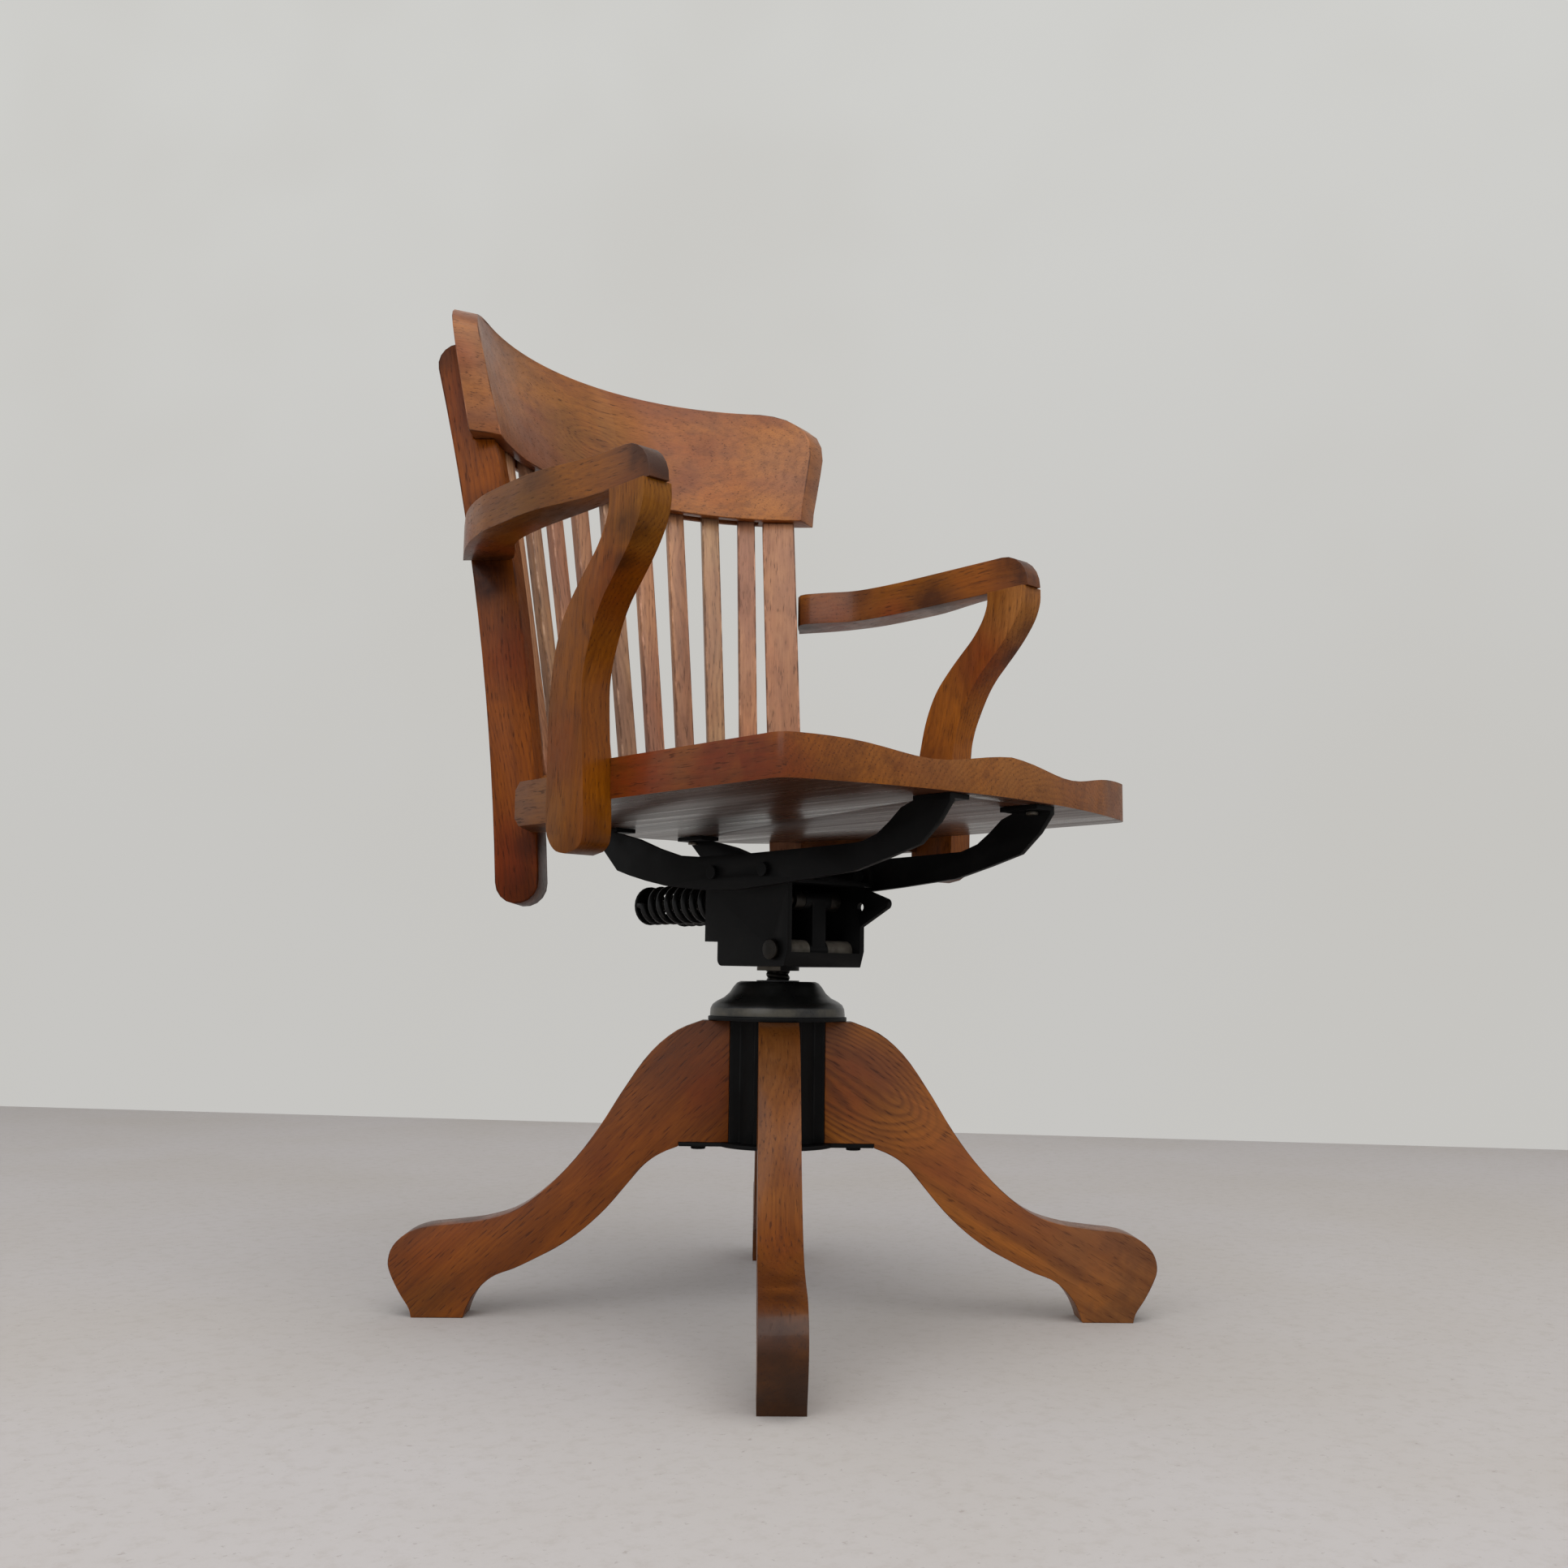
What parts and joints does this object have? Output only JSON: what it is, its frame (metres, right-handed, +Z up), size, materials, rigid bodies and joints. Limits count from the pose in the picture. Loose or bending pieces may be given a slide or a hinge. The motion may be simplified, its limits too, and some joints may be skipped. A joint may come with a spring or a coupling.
{
  "type": "bankers swivel chair",
  "caption": "Oak swivel armchair with a slatted bow back, saddled seat, sprung tilt and a screw spindle on sawn legs.",
  "frame": {"origin": "centre of the bounding box, on the floor", "axes": "+Z up, the sitter faces -Y, the chair's left arm is at +X"},
  "size_m": [0.519, 0.589, 0.922],
  "materials": {
    "oak": "satin varnish, amber brown",
    "dark_oak": "satin varnish, darker stain",
    "black_iron": "black satin, worn at the edges",
    "spring_steel": "blackened, oiled",
    "bright_steel": "bare steel, dulled"
  },
  "bodies": {
    "base": {"leg_1": "oak", "leg_2": "oak", "leg_3": "oak", "leg_4": "oak", "leg_screw_1": "black_iron", "leg_screw_2": "black_iron", "leg_screw_3": "black_iron", "leg_screw_4": "black_iron", "hub": "black_iron", "spider_plate": "black_iron"},
    "swivel_bush": {"swivel_bush": "bright_steel"},
    "height_nut": {"height_nut": "black_iron"},
    "spindle": {"spindle": "bright_steel", "spindle_head": "black_iron", "anchor_pin": "bright_steel"},
    "spring_rods": {"spring_rod_left": "bright_steel", "spring_rod_right": "bright_steel", "spring_cap_left": "black_iron", "spring_cap_right": "black_iron", "spring_left": "spring_steel", "spring_right": "spring_steel"},
    "seat": {"tilt_box": "black_iron", "pivot_shaft": "bright_steel", "seat_iron_left": "black_iron", "seat_iron_right": "black_iron", "iron_rivet_front_left": "black_iron", "iron_rivet_front_right": "black_iron", "iron_rivet_rear_left": "black_iron", "iron_rivet_rear_right": "black_iron", "foot_screw_front_left": "bright_steel", "foot_screw_front_right": "bright_steel", "foot_screw_rear_left": "bright_steel", "foot_screw_rear_right": "bright_steel", "seat": "oak", "stile_left": "oak", "stile_right": "oak", "slat_1": "oak", "slat_2": "oak", "slat_3": "oak", "slat_4": "oak", "slat_5": "oak", "slat_6": "oak", "slat_7": "oak", "slat_8": "oak", "slat_9": "oak", "crest_rail": "oak", "arm_support_left": "oak", "arm_support_right": "oak", "arm_rest_left": "dark_oak", "arm_rest_right": "dark_oak", "spacer_left": "oak", "spacer_right": "oak"}
  },
  "joints": [
    {"name": "swivel", "type": "hinge", "parent": "base", "child": "swivel_bush", "pos_m": [0, -0.0285, 0.2], "axis": [0, 0, 1], "continuous": true},
    {"name": "nut_turn", "type": "hinge", "parent": "swivel_bush", "child": "height_nut", "pos_m": [0, -0.0285, 0.27], "axis": [0, 0, -1], "range_deg": [0, 5401]},
    {"name": "height", "type": "slide", "parent": "swivel_bush", "child": "spindle", "axis": [0, 0, 1], "range_m": [0, 0.09]},
    {"name": "tilt", "type": "hinge", "parent": "spindle", "child": "seat", "pos_m": [0, -0.072, 0.314], "axis": [-1, 0, 0], "range_deg": [0, 10], "stiffness_Nm_per_rad": 220, "springref_deg": -11.46, "deforming": ["spring_left", "spring_right"]},
    {"name": "rod_swing", "type": "hinge", "parent": "spindle", "child": "spring_rods", "pos_m": [0, -0.072, 0.357], "axis": [-1, 0, 0], "range_deg": [0, 9.75]}
  ],
  "couplings": [
    {"joint": "nut_turn", "follows": "height", "rad_per_m": 1047.2},
    {"joint": "rod_swing", "follows": "tilt", "ratio": 0.97}
  ]
}
